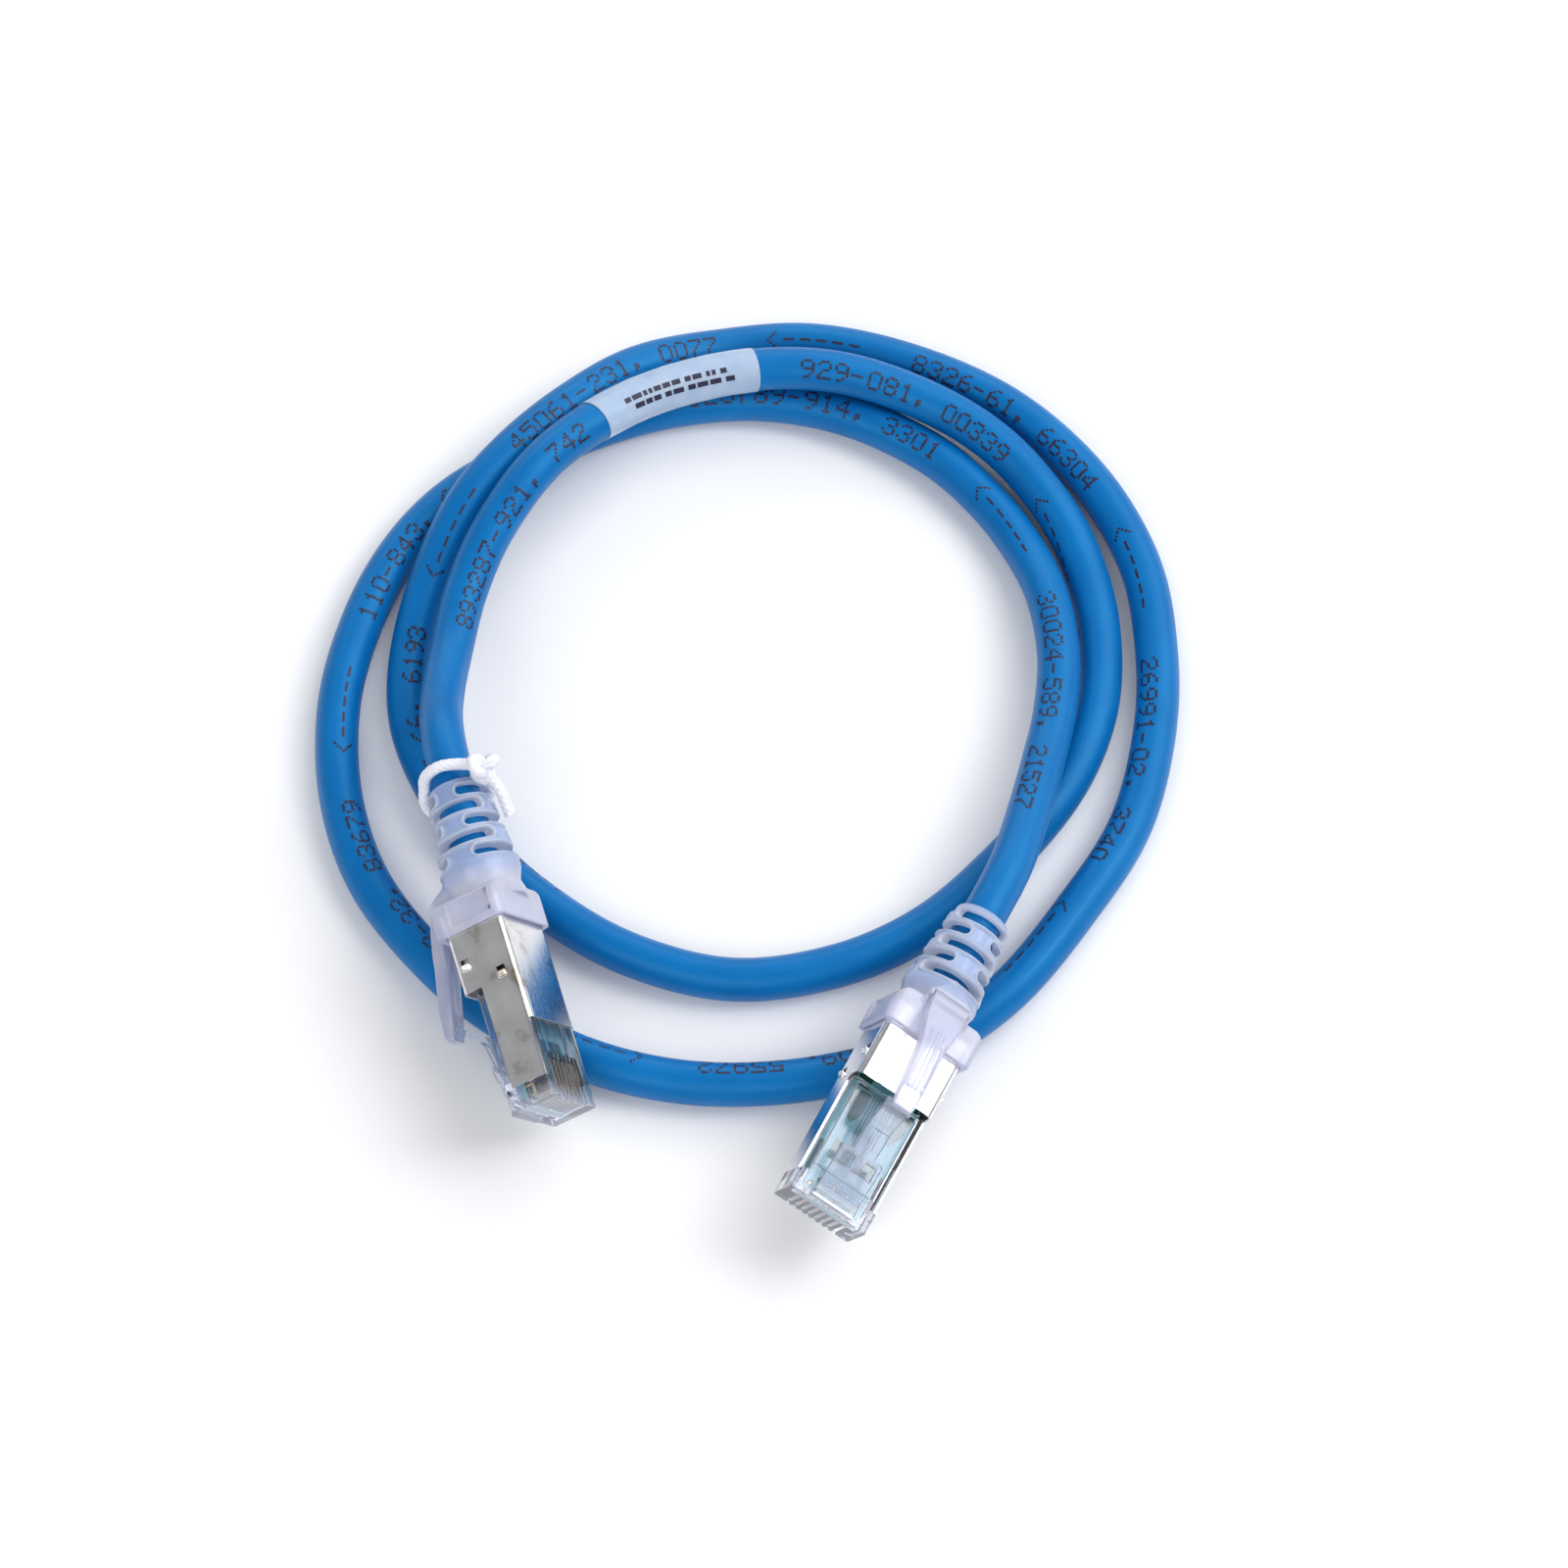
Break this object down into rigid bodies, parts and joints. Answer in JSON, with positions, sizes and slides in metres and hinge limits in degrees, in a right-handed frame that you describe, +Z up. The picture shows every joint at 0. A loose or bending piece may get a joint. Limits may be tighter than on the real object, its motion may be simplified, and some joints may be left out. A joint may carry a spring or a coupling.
{
  "type": "ethernet patch cable",
  "caption": "Blue shielded patch cord in a loose coil, with a clear latching modular plug and a frosted ribbed boot on each end, a label sleeve and an elastic tie.",
  "frame": {"origin": "middle of the coil, on the table it lies on", "axes": "+Z up from the table, +X to the right and +Y to the back when the two plugs point to the front"},
  "size_m": [0.1153, 0.1407, 0.0244],
  "materials": {
    "blue_jacket": "satin extruded jacket",
    "label_film": "translucent film",
    "white_elastic": "braided cord",
    "clear_plastic": "clear moulded polycarbonate",
    "gold": "gold plated",
    "board_green": "solder mask",
    "nickel": "nickel-plated sheet",
    "white_plastic": "moulded",
    "wire_orange": "insulation",
    "wire_blue": "insulation",
    "wire_green": "insulation",
    "wire_brown": "insulation",
    "foil": "bright foil",
    "braid": "tinned braid",
    "frosted_plastic": "frosted translucent moulding"
  },
  "bodies": {
    "root": {"cable_jacket": "blue_jacket", "label": "label_film", "tie_loop": "white_elastic", "tie_knot": "white_elastic", "plug_housing_a": "clear_plastic", "contacts_a": "gold", "circuit_board_a": "board_green", "shield_a": "nickel", "wire_manager_a": "white_plastic", "pair_orange_a": "wire_orange", "pair_blue_a": "wire_blue", "pair_green_a": "wire_green", "pair_brown_a": "wire_brown", "foil_screen_a": "foil", "braid_collar_a": "braid", "boot_a": "frosted_plastic", "plug_housing_b": "clear_plastic", "contacts_b": "gold", "circuit_board_b": "board_green", "shield_b": "nickel", "wire_manager_b": "white_plastic", "pair_orange_b": "wire_orange", "pair_blue_b": "wire_blue", "pair_green_b": "wire_green", "pair_brown_b": "wire_brown", "foil_screen_b": "foil", "braid_collar_b": "braid", "boot_b": "frosted_plastic"},
    "latch_guard_a": {"latch_guard_a": "frosted_plastic"},
    "latch_a": {"latch_a": "clear_plastic"},
    "latch_guard_b": {"latch_guard_b": "frosted_plastic"},
    "latch_b": {"latch_b": "clear_plastic"}
  },
  "joints": [
    {"name": "guard_hinge_a", "type": "hinge", "parent": "root", "child": "latch_guard_a", "pos_m": [-0.039, -0.03623, 0.0117], "axis": [-0.462, -0.2505, 0.8508], "range_deg": [0, 8], "stiffness_Nm_per_rad": 0.0008},
    {"name": "latch_hinge_a", "type": "hinge", "parent": "root", "child": "latch_a", "pos_m": [-0.02828, -0.06293, 0.00966], "axis": [0.462, 0.2505, -0.8508], "range_deg": [0, 9.7], "stiffness_Nm_per_rad": 0.0008},
    {"name": "guard_hinge_b", "type": "hinge", "parent": "root", "child": "latch_guard_b", "pos_m": [0.02607, -0.05283, 0.01871], "axis": [0.8078, -0.3947, -0.4378], "range_deg": [0, 8], "stiffness_Nm_per_rad": 0.0008},
    {"name": "latch_hinge_b", "type": "hinge", "parent": "root", "child": "latch_b", "pos_m": [0.01179, -0.07756, 0.01465], "axis": [-0.8078, 0.3947, 0.4378], "range_deg": [0, 9.7], "stiffness_Nm_per_rad": 0.0008}
  ],
  "couplings": [
    {"joint": "latch_hinge_a", "follows": "guard_hinge_a", "ratio": 1.2},
    {"joint": "latch_hinge_b", "follows": "guard_hinge_b", "ratio": 1.2}
  ]
}
